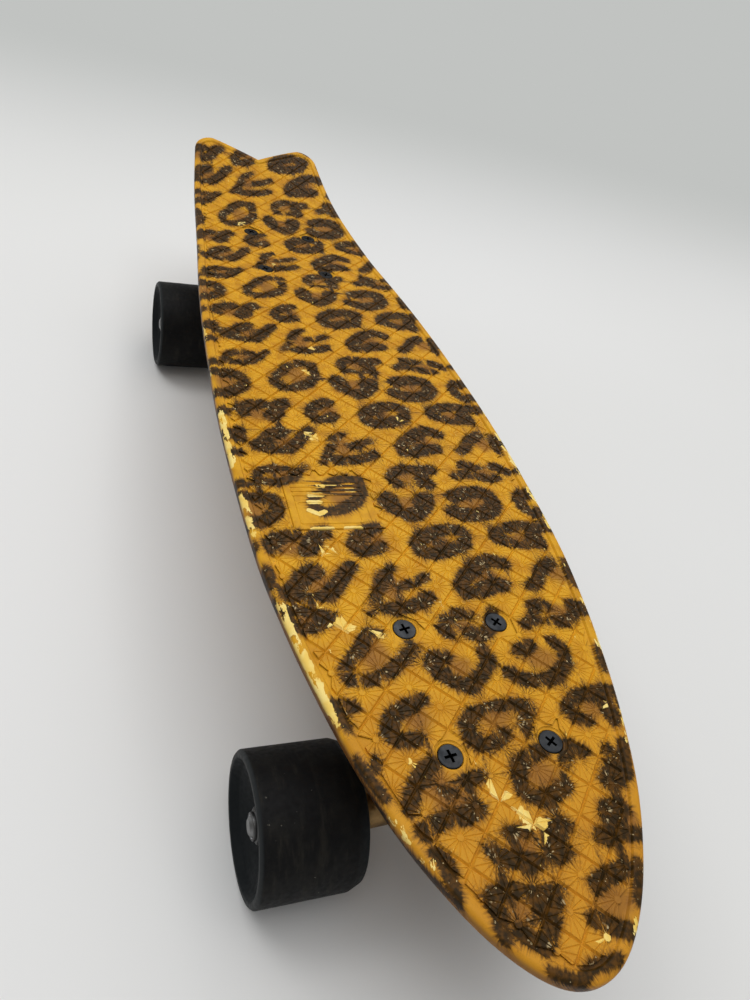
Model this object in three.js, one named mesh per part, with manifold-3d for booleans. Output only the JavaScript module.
// Small moulded cruiser skateboard, in millimetres.
// +X runs to the nose, +Y to the rider's left when facing the nose, +Z up.
// The origin is on the ground, under the middle of the board's length.
import * as THREE from "three";
import { mergeVertices } from "three/addons/utils/BufferGeometryUtils.js";
import Module from "manifold-3d";

const wasm = await Module();
wasm.setup();

// Deck: overall size and side view
const deckLength = 596;
const deckWidth = 150;
const rimRise = 1.8;
const camberRise = 3.3;
const camberReach = 172;
const kickStart = 243.5;
const kickBlend = 35;
const kickAngle = THREE.MathUtils.degToRad(19.6);

// Deck: half outline, as shares of half the length and half the width, tail to nose
const outlineShares = [
  [-1, 0.621], [-0.8, 0.707], [-0.535, 0.807], [-0.267, 0.92], [-0.05, 0.975], [0.16, 1], [0.4, 0.972],
  [0.54, 0.908], [0.673, 0.804], [0.8, 0.656], [0.9, 0.464], [0.96, 0.288], [1, 0],
];
const tailCornerRadius = 12;
const notchDepth = 16.5;
const notchStraightShare = 0.85;
const noseReach = 60;
const lobeReach = 14;
const noseSteps = 7;
const sideSteps = 22;
const lobeSteps = 5;
const outlineSamples = 600;

// Deck: section of the plate, its rim and its hollow underside
const edgeHeight = 10;
const edgeRound = 1.6;
const edgeDraft = 1;
const rimWidth = 4;
const rimDrop = 1.2;
const rimSlope = 0.7;
const sideWall = 5;
const plateDepth = 4.8;
const ribDepth = 8.6;
const ribThickness = 2.4;
const ribRoot = 1.2;
const longRibSpacing = 33;
const crossRibSpacing = 54;
const bandSteps = 2;

// Deck: pads that the trucks bolt to
const bossThickness = 11.6;
const bossMargin = 3;

// Deck: square grip blocks on the land, set on its diagonals, and the smooth panel among them
const gripPitch = 13;
const gripBlockSide = 11.5;
const gripHeight = 0.85;
const gripRoot = 1.5;
const gripBorder = 0.9;
const gripAhead = 1.7;
const boltClearing = 6.5;
const panelLength = 34;
const panelWidth = 40;
const panelAhead = 97.5;
const panelAside = 34;
const panelGroove = 1.4;

// Truck places
const truckSpacing = 349.4;
const noseOverhang = 102.8;
const axleOffset = 10.5;

// Deck bolts and lock nuts
const boltSpacingLong = 53.98;
const boltSpacingWide = 41.28;
const boltRadius = 2.35;
const boltLength = 30;
const boltClearance = 0.45;
const headRadius = 4.65;
const headCone = 2.6;
const headEdge = 0.5;
const headSink = 0.2;
const seatClearance = 0.3;
const countersinkFlare = 0.9;
const lockNutAcross = 8;
const lockNutHeight = 5.4;
const nutChamfer = 0.5;

// Riser pad and baseplate
const riserLength = 88;
const riserWidth = 58;
const riserThickness = 3;
const plateCorner = 9;
const baseLength = 86;
const baseWidth = 56;
const baseThickness = 5.4;
const baseBevel = 0.9;
const moundWidth = 27;
const moundEdge = 2;

// Steering axis and kingpin stack, measured from the baseplate's top face
const steerAngle = THREE.MathUtils.degToRad(26);
const ringInset = 16;
const ringDepth = 34;
const ringRadius = 15.5;
const ringThickness = 9;
const ringBore = 8;
const stackGap = 0.3;
const boardBushingLength = 13;
const boardBushingRadius = 11.4;
const roadBushingLength = 10;
const roadBushingRadius = 11;
const roadBushingTip = 8.6;
const bushingRound = 1;
const boardWasherRadius = 13;
const roadWasherRadius = 10.4;
const washerThickness = 1.2;
const washerLip = 1;
const kingpinRadius = 4.76;
const kingpinClearance = 0.35;
const kingpinHeadRadius = 7.4;
const kingpinHeadHeight = 4.4;
const kingpinHeadDepth = 8.5;
const kingpinEnd = 2.6;
const kingpinNutAcross = 14.3;
const kingpinNutHeight = 7.5;

// Pivot: the hanger's nose and the cup it turns in
const pivotReach = 40;
const pivotTipRadius = 5.4;
const pivotRootRadius = 7.4;
const pivotTaper = 20;
const pivotClearance = 0.3;
const cupWall = 2.7;
const cupMouth = 5.5;
const cupBase = 2.4;
const housingWall = 2.6;

// Hanger
const hangerDrop = 17.85;
const hangerHalf = 46;
const hangerEndRadius = 8.6;
const hangerMiddleRadius = 7.8;
const hangerShoulder = 9;
const frameThickness = 9;
const frameBevel = 1.5;
const frameTop = 22;
const frameTopHalf = 9;
const frameFootHalf = 33;
const frameFootHeight = 4;
const frameWindowHalf = 13;
const frameWindowDrop = 9;
const frameWindowFoot = 5;
const yokeHalf = 11.5;
const yokeReach = 24;
const ringBevel = 1;

// Axle, bearings, wheels and what holds them on
const axleRadius = 3.95;
const axleOverhang = 0.9;
const axleClearance = 0.25;
const axleChamfer = 0.8;
const collarRadius = 6.4;
const washerWidth = 0.9;
const runningGap = 0.15;
const bearingRadius = 11;
const bearingWidth = 7;
const bearingShieldInner = 6;
const bearingShieldOuter = 9.4;
const bearingShieldDepth = 0.5;
const bearingSpread = 10;
const axleNutAcross = 12.7;
const axleNutHeight = 5.8;
const wheelRadius = 29.4;
const wheelWidth = 44;
const wheelLip = 1.2;
const wheelInnerRound = 7;
const wheelRimWidth = 2.2;
const dishDepth = 3.6;
const coreRadius = 14;
const seatDepth = 1.2;
const landRadius = 9.4;

// How finely round shapes are cut
const wheelSides = 24;
const barrelSides = 16;
const smallSides = 14;
const screwSides = 10;
const nutSides = 6;
const cornerSteps = 3;
const tipSteps = 3;
const cutOverrun = 1;
const weldTolerance = 0.0001;

// Places worked out from the driving sizes
const noseX = deckLength / 2;
const frontTruckX = noseX - noseOverhang;
const rearTruckX = frontTruckX - truckSpacing;
const middleX = (frontTruckX + rearTruckX) / 2;
const axleHeight = wheelRadius * Math.cos(Math.PI / wheelSides);
const mountHeight = axleHeight + hangerDrop + ringDepth + riserThickness;
const bedHeight = mountHeight + bossThickness;
const bearingBore = axleRadius + axleClearance;
const pivotMouth = pivotReach - cupMouth;
const pivotFloor = pivotReach + pivotTipRadius + pivotClearance;
const armRadiusAtMouth = THREE.MathUtils.lerp(pivotTipRadius, pivotRootRadius, cupMouth / pivotTaper);
const cupBore = armRadiusAtMouth + pivotClearance;
const cupRadius = cupBore + cupWall;

// Materials: one finish for each kind of piece
const finishes = {
  deck: { color: 0xd99a22, roughness: 0.55, metalness: 0 },
  hardware: { color: 0x1d1d1c, roughness: 0.45, metalness: 0.7 },
  zinc: { color: 0x9a9b9c, roughness: 0.35, metalness: 1 },
  casting: { color: 0x8f8a80, roughness: 0.42, metalness: 0.9 },
  riser: { color: 0x151515, roughness: 0.8, metalness: 0 },
  bushing: { color: 0x23211f, roughness: 0.6, metalness: 0 },
  wheel: { color: 0x18181a, roughness: 0.65, metalness: 0 },
  bearing: { color: 0x77787a, roughness: 0.3, metalness: 1 },
};

function named(name, geometry, finish) {
  const mesh = new THREE.Mesh(geometry, new THREE.MeshStandardMaterial(finishes[finish]));
  mesh.name = name;
  return mesh;
}

// Welded skins and booleans

function signedVolume(positions, triangles) {
  const [a, b, c] = [new THREE.Vector3(), new THREE.Vector3(), new THREE.Vector3()];
  let volume = 0;
  for (let i = 0; i < triangles.length; i += 3) {
    a.fromArray(positions, triangles[i] * 3);
    b.fromArray(positions, triangles[i + 1] * 3);
    c.fromArray(positions, triangles[i + 2] * 3);
    volume += a.dot(b.cross(c)) / 6;
  }
  return volume;
}

// One welded closed skin with its faces outwards and no collapsed triangles.
function welded(geometry) {
  const bare = new THREE.BufferGeometry();
  bare.setAttribute("position", geometry.getAttribute("position").clone());
  bare.setIndex(geometry.index ? geometry.index.clone() : null);
  const merged = mergeVertices(bare, weldTolerance);
  const source = Array.from(merged.index.array);
  const triangles = [];
  for (let i = 0; i < source.length; i += 3) {
    const [a, b, c] = [source[i], source[i + 1], source[i + 2]];
    if (a !== b && b !== c && c !== a) {
      triangles.push(a, b, c);
    }
  }
  if (signedVolume(merged.getAttribute("position").array, triangles) < 0) {
    triangles.reverse();
  }
  merged.setIndex(triangles);
  return merged;
}

function asSolid(geometry) {
  const skin = welded(geometry);
  return new wasm.Manifold(new wasm.Mesh({
    numProp: 3,
    vertProperties: new Float32Array(skin.getAttribute("position").array),
    triVerts: new Uint32Array(skin.index.array),
  }));
}

function asGeometry(solid) {
  const mesh = solid.getMesh();
  const geometry = new THREE.BufferGeometry();
  geometry.setAttribute("position", new THREE.BufferAttribute(new Float32Array(mesh.vertProperties), 3));
  geometry.setIndex(new THREE.BufferAttribute(new Uint32Array(mesh.triVerts), 1));
  return geometry;
}

function joined(geometries) {
  return geometries.map(asSolid).reduce((sum, solid) => sum.add(solid));
}

// Revolved about Z. Points are [radius, height] and start and end on the axis, or close on themselves.
function revolvedAboutZ(points, sides) {
  const profile = points.map(([radius, height]) => new THREE.Vector2(radius, height));
  return new THREE.LatheGeometry(profile, sides).rotateX(Math.PI / 2);
}

function revolvedAboutY(points, sides) {
  const profile = points.map(([radius, height]) => new THREE.Vector2(radius, height));
  return new THREE.LatheGeometry(profile, sides).rotateY(Math.PI / sides);
}

function closedLoop(points) {
  return [...points, points[0]];
}

function rodAboutZ(radius, low, high, sides) {
  return revolvedAboutZ([[0, low], [radius, low], [radius, high], [0, high]], sides);
}

function rodAboutY(radius, low, high, sides) {
  return revolvedAboutY([[0, low], [radius, low], [radius, high], [0, high]], sides);
}

// A plan or side outline given by points, as a shape.
function outlineShape(points) {
  const shape = new THREE.Shape();
  points.forEach(([x, y], index) => {
    if (index === 0) {
      shape.moveTo(x, y);
    } else {
      shape.lineTo(x, y);
    }
  });
  return shape;
}

// A plan made as thick as depth, upwards from z = 0.
function plate(plan, depth) {
  return new THREE.ExtrudeGeometry(plan, { depth, bevelEnabled: false, curveSegments: cornerSteps });
}

// A shape drawn in X and Z, given a width along Y about the middle plane.
function widened(shape, width, bevel = 0) {
  const geometry = new THREE.ExtrudeGeometry(shape, {
    depth: width - 2 * bevel,
    bevelEnabled: bevel > 0,
    bevelThickness: bevel,
    bevelSize: bevel,
    bevelOffset: -bevel,
    bevelSegments: 1,
  });
  return geometry.translate(0, 0, bevel - width / 2).rotateX(Math.PI / 2);
}

function roundedRectangle(length, width, corner) {
  const [x, y] = [length / 2, width / 2];
  const shape = new THREE.Shape();
  shape.moveTo(x - corner, -y);
  shape.absarc(x - corner, -y + corner, corner, -Math.PI / 2, 0);
  shape.absarc(x - corner, y - corner, corner, 0, Math.PI / 2);
  shape.absarc(-x + corner, y - corner, corner, Math.PI / 2, Math.PI);
  shape.absarc(-x + corner, -y + corner, corner, Math.PI, 1.5 * Math.PI);
  return shape;
}

// The four bolt places of a truck, about the middle of its pattern.
function boltPlaces() {
  const [x, y] = [boltSpacingLong / 2, boltSpacingWide / 2];
  return [[x, y], [x, -y], [-x, y], [-x, -y]];
}

// Deck

// Height of the rim's top above the ground, at a place along the board.
function rimTopAt(x) {
  const reach = Math.max(x - middleX, -camberReach) / camberReach;
  const camber = camberRise * (1 - reach * reach);
  const past = -kickStart - x;
  const kick = Math.tan(kickAngle) * (Math.hypot(past, kickBlend) + past) / 2;
  return bedHeight + rimRise + camber + kick;
}

const outlineCurve = new THREE.SplineCurve(
  outlineShares.map(([along, across]) => new THREE.Vector2(along, across * across)),
).getPoints(outlineSamples);

// Half the deck's width before the tail is cut, from the spline through the squared shares.
function halfWidthAt(x) {
  const share = THREE.MathUtils.clamp(x / noseX, -1, 1);
  const next = Math.max(1, outlineCurve.findIndex((point) => point.x >= share));
  const [low, high] = [outlineCurve[next - 1], outlineCurve[next]];
  const part = (share - low.x) / (high.x - low.x);
  const squared = THREE.MathUtils.lerp(low.y, high.y, part);
  return Math.sqrt(Math.max(squared, 0)) * deckWidth / 2;
}

// The same with the tail's outer corner rounded off.
function sideAt(x) {
  const inward = Math.max(tailCornerRadius - (x + noseX), 0);
  const loss = tailCornerRadius - Math.sqrt(tailCornerRadius ** 2 - inward ** 2);
  return halfWidthAt(x) - loss;
}

// Half of the deck's outline, from the nose back along one side, round the tail's tip and into the notch.
// lastRow is the last point whose mirror image lies straight across the board.
function halfOutline() {
  const points = [[noseX, 0]];
  for (let step = 1; step <= noseSteps; step += 1) {
    const x = noseX - noseReach * (step / noseSteps) ** 2;
    points.push([x, sideAt(x)]);
  }
  const notchX = notchDepth - noseX;
  const lobeX = notchX + lobeReach;
  for (let step = 1; step <= sideSteps; step += 1) {
    const x = THREE.MathUtils.lerp(noseX - noseReach, lobeX, step / sideSteps);
    points.push([x, sideAt(x)]);
  }
  const lastRow = points.length - 1;
  for (let step = 1; step <= lobeSteps; step += 1) {
    const turn = Math.sin(step / lobeSteps * Math.PI / 2);
    const x = THREE.MathUtils.lerp(lobeX, -noseX, turn);
    points.push([x, sideAt(x)]);
  }
  const tip = sideAt(-noseX);
  for (let step = 1; step <= lobeSteps; step += 1) {
    const depth = Math.cos(step / lobeSteps * Math.PI / 2);
    const bow = 1 - Math.sqrt(Math.max(1 - depth * depth, 0));
    const y = tip * (notchStraightShare * depth + (1 - notchStraightShare) * bow);
    points.push([notchX - notchDepth * depth, step === lobeSteps ? 0 : y]);
  }
  return { points: points.map(([x, y]) => new THREE.Vector2(x, y)), lastRow };
}

// The whole outline, drawn in by a distance along its own normals.
function insetOutline(outline, inset) {
  const count = outline.length;
  return outline.map((point, index) => {
    const before = point.clone().sub(outline[(index + count - 1) % count]).normalize();
    const after = outline[(index + 1) % count].clone().sub(point).normalize();
    const normals = [before, after].map((along) => new THREE.Vector2(-along.y, along.x));
    const mitre = 1 + normals[0].dot(normals[1]);
    return point.clone().addScaledVector(normals[0].add(normals[1]), inset / mitre);
  });
}

// Triangles that close a ring of the outline, as strips straight across the board and along each tail lobe.
function capTriangles(last, lastRow) {
  const mirror = (index) => (2 * last - index) % (2 * last);
  const triangles = [];
  const quad = (a, b, c, d) => {
    triangles.push([a, b, c]);
    if (d !== a) {
      triangles.push([a, c, d]);
    }
  };
  for (let i = 0; i < lastRow; i += 1) {
    quad(i, i + 1, mirror(i + 1), mirror(i));
  }
  triangles.push([lastRow, last, mirror(lastRow)]);
  for (let step = 0; step < lobeSteps; step += 1) {
    const [side, notch] = [lastRow + step, last - step];
    quad(side, side + 1, notch - 1, notch);
    quad(mirror(notch), mirror(notch - 1), mirror(side + 1), mirror(side));
  }
  return triangles.filter(([a, b, c]) => a !== b && b !== c && c !== a);
}

function wholeOutline() {
  const { points } = halfOutline();
  const mirrored = points.slice(1, -1).reverse().map((point) => new THREE.Vector2(point.x, -point.y));
  return [...points, ...mirrored];
}

// A solid swept round the outline: section gives each ring's inset and its height from the rim's top.
function deckBody(section) {
  const { points, lastRow } = halfOutline();
  const last = points.length - 1;
  const outline = wholeOutline();
  const count = outline.length;
  const positions = [];
  for (const [inset, height] of section) {
    for (const point of insetOutline(outline, inset)) {
      positions.push(point.x, point.y, rimTopAt(point.x) + height);
    }
  }
  const triangles = [];
  const cap = capTriangles(last, lastRow);
  for (const [a, b, c] of cap) {
    triangles.push(a, b, c);
  }
  for (let ring = 0; ring < section.length - 1; ring += 1) {
    const [upper, lower] = [ring * count, (ring + 1) * count];
    for (let i = 0; i < count; i += 1) {
      const next = (i + 1) % count;
      triangles.push(upper + next, upper + i, lower + i, upper + next, lower + i, lower + next);
    }
  }
  const bottom = (section.length - 1) * count;
  for (const [a, b, c] of cap) {
    triangles.push(bottom + c, bottom + b, bottom + a);
  }
  const geometry = new THREE.BufferGeometry();
  geometry.setAttribute("position", new THREE.Float32BufferAttribute(positions, 3));
  geometry.setIndex(triangles);
  return geometry;
}

function edgeSection() {
  const cornerShare = 1 - Math.SQRT1_2;
  return [
    [rimWidth + rimSlope, -rimDrop],
    [rimWidth, 0],
    [edgeRound, 0],
    [edgeRound * cornerShare, -edgeRound * cornerShare],
    [0, -edgeRound],
    [edgeDraft, edgeRound - edgeHeight],
    [edgeDraft + edgeRound, -edgeHeight],
  ];
}

// A band that follows the deck's side view between two depths below the rim's top, across the full width.
function deckBand(backX, frontX, upperDrop, lowerAt) {
  const steps = Math.max(1, Math.ceil((frontX - backX) / crossRibSpacing * bandSteps));
  const upper = [];
  const lower = [];
  for (let step = 0; step <= steps; step += 1) {
    const x = THREE.MathUtils.lerp(backX, frontX, step / steps);
    upper.push([x, rimTopAt(x) - upperDrop]);
    lower.push([x, lowerAt(x)]);
  }
  return outlineShape([...lower, ...upper.reverse()]);
}

function ribs() {
  const upperDrop = plateDepth - ribRoot;
  const ribFoot = (x) => rimTopAt(x) - ribDepth;
  const pieces = [];
  for (const side of [-1, 0, 1]) {
    const band = deckBand(-noseX, noseX, upperDrop, ribFoot);
    pieces.push(widened(band, ribThickness).translate(0, side * longRibSpacing, 0));
  }
  const count = Math.floor(deckLength / crossRibSpacing) - 1;
  for (let rib = 0; rib < count; rib += 1) {
    const x = (rib - (count - 1) / 2) * crossRibSpacing - ribThickness / 2;
    pieces.push(widened(deckBand(x, x + ribThickness, upperDrop, ribFoot), deckWidth));
  }
  return joined(pieces);
}

// The thick pad under the plate that a truck bolts to, flat below.
function boss(truckX) {
  const half = riserLength / 2 + bossMargin;
  const upperDrop = plateDepth - ribRoot;
  const band = deckBand(truckX - half, truckX + half, upperDrop, () => mountHeight);
  const plan = roundedRectangle(2 * half, riserWidth + 2 * bossMargin, plateCorner + bossMargin);
  const column = plate(plan, bedHeight).translate(truckX, 0, mountHeight);
  return asSolid(widened(band, deckWidth)).intersect(asSolid(column));
}

function landAt(x) {
  return rimTopAt(x) - rimDrop;
}

// Clearance hole with the countersink that a bolt's head sits in.
function boltCutter(x, y) {
  const hole = boltRadius + boltClearance;
  const seat = headRadius + seatClearance;
  const mouth = seat + countersinkFlare;
  const coneTop = landAt(x) - headSink - headEdge;
  return revolvedAboutZ([
    [0, mountHeight - cutOverrun],
    [hole, mountHeight - cutOverrun],
    [hole, coneTop - headCone],
    [seat, coneTop],
    [mouth, landAt(x)],
    [mouth, landAt(x) + rimDrop + cutOverrun],
    [0, landAt(x) + rimDrop + cutOverrun],
  ], screwSides).translate(x, y, 0);
}

// The middles of the grip blocks, in rows along the board that are half a pitch apart from their neighbours.
function gripPlaces() {
  const half = gripPitch / Math.SQRT2;
  const border = rimWidth + rimSlope + gripBorder;
  const [rows, columns] = [Math.ceil(deckWidth / 2 / half), Math.ceil(deckLength / 2 / half)];
  const places = [];
  for (let row = -rows; row <= rows; row += 1) {
    for (let column = -columns; column <= columns; column += 1) {
      const [x, y] = [gripAhead + column * half, row * half];
      const onLand = Math.abs(x) < noseX && Math.abs(y) < sideAt(x) - border;
      if ((row + column) % 2 === 0 && onLand) {
        places.push([x, y]);
      }
    }
  }
  return places;
}

// Square blocks that follow the land's height at their corners, with their feet inside the plate.
function gripBlocks() {
  const reach = gripBlockSide / Math.SQRT2;
  const positions = [];
  const triangles = [];
  for (const [x, y] of gripPlaces()) {
    const first = positions.length / 3;
    const corners = [[x + reach, y], [x, y + reach], [x - reach, y], [x, y - reach]];
    for (const height of [-gripRoot, gripHeight]) {
      corners.forEach(([cornerX, cornerY]) => positions.push(cornerX, cornerY, landAt(cornerX) + height));
    }
    const faces = [[0, 3, 1], [3, 2, 1], [4, 5, 7], [7, 5, 6]];
    for (let side = 0; side < 4; side += 1) {
      const next = (side + 1) % 4;
      faces.push([side, next, next + 4], [side, next + 4, side + 4]);
    }
    faces.flat().forEach((corner) => triangles.push(first + corner));
  }
  const geometry = new THREE.BufferGeometry();
  geometry.setAttribute("position", new THREE.Float32BufferAttribute(positions, 3));
  geometry.setIndex(triangles);
  return asSolid(geometry);
}

// The blocks, kept inside the border and clear of the bolts and the panel.
function grip() {
  const edge = insetOutline(wholeOutline(), rimWidth + rimSlope + gripBorder);
  const border = plate(outlineShape(edge.map((point) => [point.x, point.y])), 2 * bedHeight);
  let blocks = gripBlocks().intersect(asSolid(border));
  for (const truckX of [frontTruckX, rearTruckX]) {
    for (const [x, y] of boltPlaces()) {
      const clearing = rodAboutZ(boltClearing, 0, 2 * bedHeight, screwSides);
      blocks = blocks.subtract(asSolid(clearing.translate(truckX + x, y, 0)));
    }
  }
  const [length, width] = [panelLength + 2 * panelGroove, panelWidth + 2 * panelGroove];
  const clearing = new THREE.BoxGeometry(length, width, 2 * bedHeight);
  return blocks.subtract(asSolid(clearing.translate(panelAhead, -panelAside, bedHeight)));
}

function panel() {
  const [back, front] = [panelAhead - panelLength / 2, panelAhead + panelLength / 2];
  const band = deckBand(back, front, rimDrop - gripHeight, (x) => landAt(x) - gripRoot);
  return asSolid(widened(band, panelWidth).translate(0, -panelAside, 0));
}

function deckGeometry() {
  const hollow = [
    [sideWall, -edgeHeight],
    [sideWall + edgeDraft, -plateDepth],
  ];
  const shell = asSolid(deckBody([...edgeSection(), ...hollow]));
  const envelope = asSolid(deckBody(edgeSection()));
  let solid = shell.add(ribs().intersect(envelope));
  for (const truckX of [frontTruckX, rearTruckX]) {
    solid = solid.add(boss(truckX));
  }
  solid = solid.add(grip()).add(panel());
  for (const truckX of [frontTruckX, rearTruckX]) {
    for (const [x, y] of boltPlaces()) {
      solid = solid.subtract(asSolid(boltCutter(truckX + x, y)));
    }
  }
  return asGeometry(solid);
}

// Deck bolts and lock nuts

function boltGeometry() {
  return welded(revolvedAboutZ([
    [0, -boltLength],
    [boltRadius, -boltLength],
    [boltRadius, -headEdge - headCone],
    [headRadius, -headEdge],
    [headRadius - headEdge / 2, 0],
    [0, 0],
  ], screwSides));
}

// A six-sided nut with chamfered faces and a round bore, from z = 0 up.
function nutGeometry(acrossFlats, height, bore) {
  const corner = acrossFlats / Math.sqrt(3);
  const blank = revolvedAboutZ([
    [0, 0],
    [corner - nutChamfer, 0],
    [corner, nutChamfer],
    [corner, height - nutChamfer],
    [corner - nutChamfer, height],
    [0, height],
  ], nutSides);
  const hole = rodAboutZ(bore, -cutOverrun, height + cutOverrun, screwSides);
  return asGeometry(asSolid(blank).subtract(asSolid(hole)));
}

function addDeckHardware(board, end, truckX) {
  const nutTop = mountHeight - riserThickness - baseThickness - seatClearance;
  boltPlaces().forEach(([x, y], index) => {
    const bolt = named(`${end}_deck_bolt_${index + 1}`, boltGeometry(), "hardware");
    bolt.position.set(truckX + x, y, landAt(truckX + x) - headSink);
    const lockNut = nutGeometry(lockNutAcross, lockNutHeight, boltRadius + boltClearance / 2);
    const nut = named(`${end}_deck_nut_${index + 1}`, lockNut, "zinc");
    nut.rotation.x = Math.PI;
    nut.position.set(truckX + x, y, nutTop);
    board.add(bolt, nut);
  });
}

// Truck. Local +X points away from the middle of the board, and z = 0 is the pad under the deck.

const baseTop = -riserThickness;
const ringCentre = new THREE.Vector3(-ringInset, 0, baseTop - ringDepth);
const steerFrame = new THREE.Matrix4().compose(
  ringCentre,
  new THREE.Quaternion().setFromEuler(new THREE.Euler(0, -steerAngle, 0)),
  new THREE.Vector3(1, 1, 1),
);
const axleDrop = mountHeight - axleHeight;

// Heights along the kingpin from the ring's centre, positive towards the deck
const ringFace = ringThickness / 2;
const boardBushingLow = ringFace + stackGap;
const boardBushingHigh = boardBushingLow + boardBushingLength;
const boardWasherLow = boardBushingHigh + stackGap;
const boardWasherHigh = boardWasherLow + washerThickness;
const seatLevel = boardWasherHigh + stackGap;
const roadBushingHigh = -ringFace - stackGap;
const roadBushingLow = roadBushingHigh - roadBushingLength;
const roadWasherHigh = roadBushingLow - stackGap;
const roadWasherLow = roadWasherHigh - washerThickness;
const kingpinNutHigh = roadWasherLow - stackGap;
const kingpinNutLow = kingpinNutHigh - kingpinNutHeight;

function withBoltHoles(shape) {
  for (const [x, y] of boltPlaces()) {
    const hole = new THREE.Path();
    hole.absarc(x, y, boltRadius + boltClearance, 0, 2 * Math.PI, true);
    shape.holes.push(hole);
  }
  return shape;
}

function riserGeometry() {
  const plan = withBoltHoles(roundedRectangle(riserLength, riserWidth, plateCorner));
  return welded(plate(plan, riserThickness).translate(0, 0, -riserThickness));
}

// The raised side profile of the baseplate, from the kingpin's seat to the pivot housing.
function moundGeometry() {
  const seatHalf = boardWasherRadius + moundEdge / 2;
  const seatIn = new THREE.Vector3(-seatHalf, 0, seatLevel).applyMatrix4(steerFrame);
  const seatOut = new THREE.Vector3(seatHalf, 0, seatLevel).applyMatrix4(steerFrame);
  const housingIn = new THREE.Vector3(pivotMouth, 0, cupRadius).applyMatrix4(steerFrame);
  const flangeFoot = baseTop - baseThickness;
  const root = baseTop - baseThickness / 2;
  return widened(outlineShape([
    [-baseLength / 2 + moundEdge, root],
    [-baseLength / 2 + moundEdge, flangeFoot - moundEdge],
    [seatIn.x, seatIn.z],
    [seatOut.x, seatOut.z],
    [seatOut.x + moundEdge, flangeFoot - moundEdge],
    [housingIn.x, flangeFoot - moundEdge],
    [baseLength / 2 - plateCorner, root],
  ]), moundWidth, moundEdge / 2);
}

function pivotAxisRod(radius, low, high, sides) {
  return rodAboutZ(radius, low, high, sides).rotateY(Math.PI / 2).applyMatrix4(steerFrame);
}

function baseplateGeometry() {
  const plan = withBoltHoles(roundedRectangle(baseLength, baseWidth, plateCorner));
  const flange = plate(plan, baseThickness);
  const housingRadius = cupRadius + stackGap + housingWall;
  const housingLow = pivotMouth + stackGap;
  const housingHigh = pivotFloor + cupBase + stackGap + housingWall;
  const housing = pivotAxisRod(housingRadius, housingLow, housingHigh, smallSides);
  const body = joined([flange.translate(0, 0, baseTop - baseThickness), moundGeometry(), housing]);
  const below = new THREE.BoxGeometry(2 * baseLength, 2 * baseWidth, baseLength);
  const aboveDeckFace = asSolid(below.translate(0, 0, baseTop + baseLength / 2));
  const seatRadius = cupRadius + stackGap;
  const cupSeat = pivotAxisRod(seatRadius, housingLow - cutOverrun, housingHigh - housingWall, smallSides);
  const shaftRadius = kingpinRadius + kingpinClearance;
  const kingpinHole = rodAboutZ(shaftRadius, seatLevel - cutOverrun, 2 * ringDepth, smallSides);
  const headSeat = seatLevel + kingpinHeadDepth - stackGap;
  const headHole = rodAboutZ(kingpinHeadRadius + stackGap, headSeat, 2 * ringDepth, smallSides);
  return asGeometry(body
    .subtract(aboveDeckFace)
    .subtract(asSolid(cupSeat))
    .subtract(asSolid(kingpinHole.applyMatrix4(steerFrame)))
    .subtract(asSolid(headHole.applyMatrix4(steerFrame))));
}

function kingpinGeometry() {
  const headLow = seatLevel + kingpinHeadDepth;
  const headHigh = headLow + kingpinHeadHeight;
  const end = kingpinNutLow - kingpinEnd;
  return welded(revolvedAboutZ([
    [0, end],
    [kingpinRadius - axleChamfer, end],
    [kingpinRadius, end + axleChamfer],
    [kingpinRadius, headLow],
    [kingpinHeadRadius, headLow],
    [kingpinHeadRadius, headHigh - axleChamfer],
    [kingpinHeadRadius - axleChamfer, headHigh],
    [0, headHigh],
  ], smallSides));
}

// A bushing round the kingpin, with rounded ends.
function bushingGeometry(low, high, lowRadius, highRadius) {
  const bore = kingpinRadius + kingpinClearance;
  return welded(revolvedAboutZ(closedLoop([
    [bore, low],
    [lowRadius - bushingRound, low],
    [lowRadius, low + bushingRound],
    [highRadius, high - bushingRound],
    [highRadius - bushingRound, high],
    [bore, high],
  ]), smallSides));
}

// A cup washer: a plate whose edge is turned up round the bushing's end, with lip above or below zero.
function washerGeometry(radius, low, high, lip) {
  const bore = kingpinRadius + kingpinClearance;
  const [face, back] = lip > 0 ? [high, low] : [low, high];
  return welded(revolvedAboutZ(closedLoop([
    [bore, back],
    [radius - washerThickness / 2, back],
    [radius, face + lip],
    [radius - washerThickness / 2, face + lip],
    [radius - washerThickness, face],
    [bore, face],
  ]), smallSides));
}

function pivotCupGeometry() {
  return welded(revolvedAboutZ([
    [0, pivotFloor],
    [cupBore - cupBase, pivotFloor],
    [cupBore, pivotFloor - cupBase],
    [cupBore, pivotMouth],
    [cupRadius, pivotMouth],
    [cupRadius, pivotFloor + cupBase],
    [0, pivotFloor + cupBase],
  ], smallSides).rotateY(Math.PI / 2));
}

// The bar that the axle lies in, thicker at its ends.
function crossbarGeometry() {
  const shoulder = hangerHalf - hangerShoulder;
  const waist = frameFootHalf / 2;
  return revolvedAboutY([
    [0, -hangerHalf],
    [hangerEndRadius, -hangerHalf],
    [hangerEndRadius, -shoulder],
    [hangerMiddleRadius, -waist],
    [hangerMiddleRadius, waist],
    [hangerEndRadius, shoulder],
    [hangerEndRadius, hangerHalf],
    [0, hangerHalf],
  ], barrelSides).translate(axleOffset, 0, -axleDrop);
}

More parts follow.
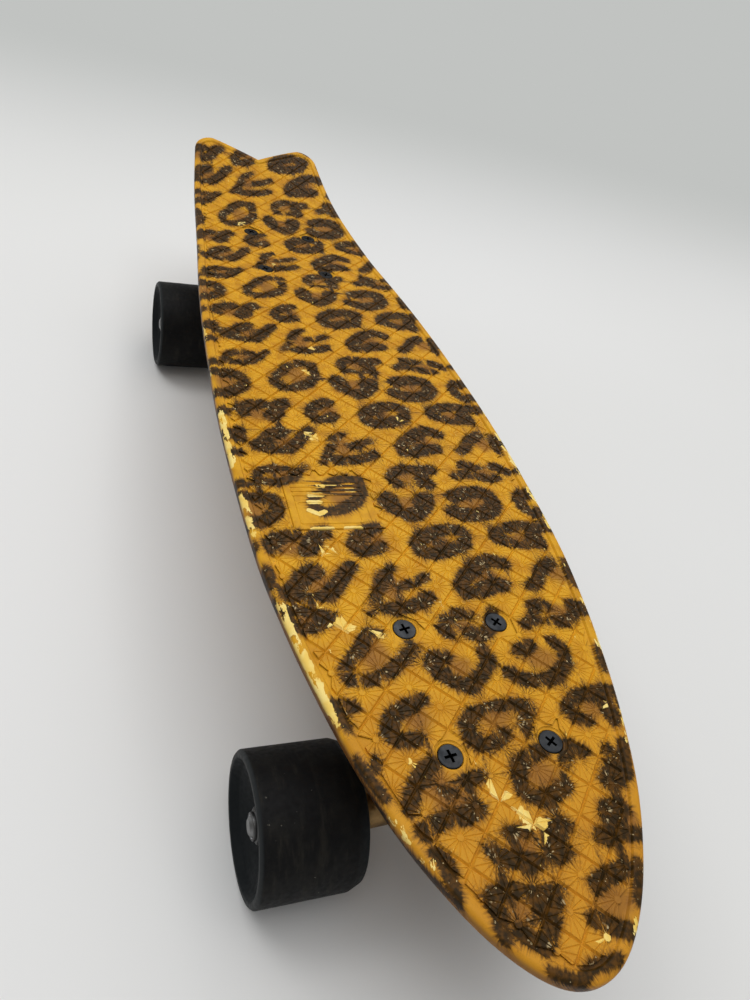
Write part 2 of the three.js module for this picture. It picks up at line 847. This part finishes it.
// The triangular frame between the bar and the pivot arm, seen along the board, with its window.
function frameGeometry() {
  const top = baseTop - frameTop;
  const foot = -axleDrop;
  const shape = outlineShape([
    [-frameFootHalf, foot],
    [frameFootHalf, foot],
    [frameFootHalf, foot + frameFootHeight],
    [frameTopHalf, top],
    [-frameTopHalf, top],
    [-frameFootHalf, foot + frameFootHeight],
  ]);
  const window = outlineShape([
    [-frameWindowHalf, foot + hangerMiddleRadius + frameWindowFoot],
    [0, top - frameWindowDrop],
    [frameWindowHalf, foot + hangerMiddleRadius + frameWindowFoot],
  ]);
  shape.holes.push(window);
  const plate = widened(shape, frameThickness, frameBevel);
  return plate.rotateZ(Math.PI / 2).translate(axleOffset, 0, 0);
}

// The plate round the kingpin, widening from its ring into the frame.
function yokeGeometry() {
  const shape = new THREE.Shape();
  const tangent = Math.acos(THREE.MathUtils.clamp((ringRadius - yokeHalf) / yokeReach, -1, 1));
  shape.absarc(0, 0, ringRadius, tangent, 2 * Math.PI - tangent);
  shape.lineTo(yokeReach, -yokeHalf);
  shape.lineTo(yokeReach, yokeHalf);
  const plate = new THREE.ExtrudeGeometry(shape, {
    depth: ringThickness - 2 * ringBevel,
    bevelThickness: ringBevel,
    bevelSize: ringBevel,
    bevelOffset: -ringBevel,
    bevelSegments: 1,
    curveSegments: screwSides,
  });
  return plate.translate(0, 0, ringBevel - ringThickness / 2).applyMatrix4(steerFrame);
}

// The arm that runs from the ring's edge along the steering axis to the pivot's round tip.
function pivotArmGeometry() {
  const start = ringBore + pivotRootRadius;
  const points = [[0, start], [pivotRootRadius, start], [pivotRootRadius, pivotReach - pivotTaper]];
  for (let step = 0; step <= tipSteps; step += 1) {
    const angle = step / tipSteps * Math.PI / 2;
    const radius = step === tipSteps ? 0 : pivotTipRadius * Math.cos(angle);
    points.push([radius, pivotReach + pivotTipRadius * Math.sin(angle)]);
  }
  return revolvedAboutZ(points, smallSides).rotateY(Math.PI / 2).applyMatrix4(steerFrame);
}

function hangerGeometry() {
  const body = joined([crossbarGeometry(), frameGeometry(), yokeGeometry(), pivotArmGeometry()]);
  const bore = rodAboutZ(ringBore, -ringThickness, ringThickness, barrelSides).applyMatrix4(steerFrame);
  const axleBore = rodAboutY(axleRadius + axleClearance, -2 * hangerHalf, 2 * hangerHalf, smallSides);
  return asGeometry(body
    .subtract(asSolid(bore))
    .subtract(asSolid(axleBore.translate(axleOffset, 0, -axleDrop))));
}

// Wheel assembly, measured along the axle from the middle of the board
const bearingInnerFace = hangerHalf + washerWidth + 2 * runningGap;
const wheelMiddle = bearingInnerFace + bearingWidth + bearingSpread / 2;
const bearingOuterFace = wheelMiddle + bearingSpread / 2 + bearingWidth;
const speedWasherFace = bearingOuterFace + runningGap + washerWidth;
const nutOuterFace = speedWasherFace + runningGap + axleNutHeight;
const axleEnd = nutOuterFace + axleOverhang;

// The axle with the two inner washers that its bearings press against.
function axleGeometry() {
  const collarLow = hangerHalf + runningGap;
  const collarHigh = collarLow + washerWidth;
  const half = [
    [axleRadius, collarLow],
    [collarRadius, collarLow],
    [collarRadius, collarHigh],
    [axleRadius, collarHigh],
    [axleRadius, axleEnd - axleChamfer],
    [axleRadius - axleChamfer, axleEnd],
    [0, axleEnd],
  ];
  const other = half.map(([radius, y]) => [radius, -y]).reverse();
  return welded(revolvedAboutY([...other, ...half], screwSides));
}

// A shielded bearing. Its shield is sunk on the side that shows, which is +Y.
function bearingGeometry() {
  const half = bearingWidth / 2;
  const shield = half - bearingShieldDepth;
  return welded(revolvedAboutY(closedLoop([
    [bearingBore, -half],
    [bearingRadius, -half],
    [bearingRadius, half],
    [bearingShieldOuter, shield],
    [bearingShieldInner, shield],
    [bearingBore, half],
  ]), smallSides));
}

// The wheel's section, from the bearing land round the outer face, the tread and the inner face.
function wheelGeometry() {
  const half = wheelWidth / 2;
  const seat = bearingRadius + runningGap;
  const pocket = bearingSpread / 2 + bearingWidth + seatDepth;
  const land = bearingSpread / 2 - runningGap;
  const lipOuter = wheelRadius - wheelLip;
  const lipInner = lipOuter - wheelRimWidth;
  const round = wheelInnerRound;
  const diagonal = round * (1 - Math.SQRT1_2);
  return welded(revolvedAboutY(closedLoop([
    [landRadius, -land],
    [landRadius, land],
    [seat, land],
    [seat, pocket],
    [coreRadius, pocket],
    [lipInner - wheelRimWidth, half - dishDepth],
    [lipInner, half],
    [lipOuter, half],
    [wheelRadius, half - wheelLip],
    [wheelRadius, round - half],
    [wheelRadius - diagonal, diagonal - half],
    [wheelRadius - round, -half],
    [coreRadius, -pocket],
    [seat, -pocket],
    [seat, -land],
  ]), wheelSides));
}

function speedWasherGeometry() {
  const half = washerWidth / 2;
  return welded(revolvedAboutY(closedLoop([
    [bearingBore, -half],
    [collarRadius, -half],
    [collarRadius, half],
    [bearingBore, half],
  ]), screwSides));
}

// One wheel with its bearings and what holds it on. side is +1 or -1 along the truck's own Y.
function addWheel(truck, name, side) {
  const place = (mesh, y) => {
    mesh.position.set(axleOffset, side * y, -axleDrop);
    truck.add(mesh);
    return mesh;
  };
  const spread = (bearingSpread + bearingWidth) / 2;
  const wheel = place(named(`${name}_wheel`, wheelGeometry(), "wheel"), wheelMiddle);
  wheel.rotation.z = side > 0 ? 0 : Math.PI;
  const bearing = (which) => named(`${name}_${which}_bearing`, bearingGeometry(), "bearing");
  const innerBearing = place(bearing("inner"), wheelMiddle - spread);
  const outerBearing = place(bearing("outer"), wheelMiddle + spread);
  innerBearing.rotation.z = side > 0 ? Math.PI : 0;
  outerBearing.rotation.z = side > 0 ? 0 : Math.PI;
  place(named(`${name}_speed_washer`, speedWasherGeometry(), "zinc"), speedWasherFace - washerWidth / 2);
  const nut = nutGeometry(axleNutAcross, axleNutHeight, bearingBore);
  const axleNut = named(`${name}_axle_nut`, nut, "zinc");
  axleNut.rotation.x = -side * Math.PI / 2;
  place(axleNut, nutOuterFace - axleNutHeight);
}

function addKingpinStack(truck, end) {
  const stack = new THREE.Group();
  stack.applyMatrix4(steerFrame);
  const boardBushing = bushingGeometry(
    boardBushingLow, boardBushingHigh, boardBushingRadius, boardBushingRadius);
  const roadBushing = bushingGeometry(roadBushingLow, roadBushingHigh, roadBushingTip, roadBushingRadius);
  const boardWasher = washerGeometry(boardWasherRadius, boardWasherLow, boardWasherHigh, -washerLip);
  const roadWasher = washerGeometry(roadWasherRadius, roadWasherLow, roadWasherHigh, washerLip);
  const kingpinNut = nutGeometry(kingpinNutAcross, kingpinNutHeight, kingpinRadius + kingpinClearance);
  stack.add(
    named(`${end}_kingpin`, kingpinGeometry(), "zinc"),
    named(`${end}_board_bushing`, boardBushing, "bushing"),
    named(`${end}_road_bushing`, roadBushing, "bushing"),
    named(`${end}_board_washer`, boardWasher, "zinc"),
    named(`${end}_road_washer`, roadWasher, "zinc"),
    named(`${end}_kingpin_nut`, kingpinNut.translate(0, 0, kingpinNutLow), "zinc"),
    named(`${end}_pivot_cup`, pivotCupGeometry(), "bushing"),
  );
  truck.add(stack);
}

// A whole truck. turned is true for the one whose outward side is -X.
function makeTruck(end, truckX, turned) {
  const truck = new THREE.Group();
  truck.position.set(truckX, 0, mountHeight);
  truck.rotation.z = turned ? Math.PI : 0;
  truck.add(
    named(`${end}_riser_pad`, riserGeometry(), "riser"),
    named(`${end}_baseplate`, baseplateGeometry(), "casting"),
    named(`${end}_hanger`, hangerGeometry(), "casting"),
  );
  addKingpinStack(truck, end);
  const axle = named(`${end}_axle`, axleGeometry(), "zinc");
  axle.position.set(axleOffset, 0, -axleDrop);
  truck.add(axle);
  addWheel(truck, `${end}_${turned ? "right" : "left"}`, 1);
  addWheel(truck, `${end}_${turned ? "left" : "right"}`, -1);
  return truck;
}

const skateboard = new THREE.Group();
skateboard.add(named("deck", deckGeometry(), "deck"));
addDeckHardware(skateboard, "front", frontTruckX);
addDeckHardware(skateboard, "rear", rearTruckX);
skateboard.add(makeTruck("front", frontTruckX, false));
skateboard.add(makeTruck("rear", rearTruckX, true));

export default skateboard;
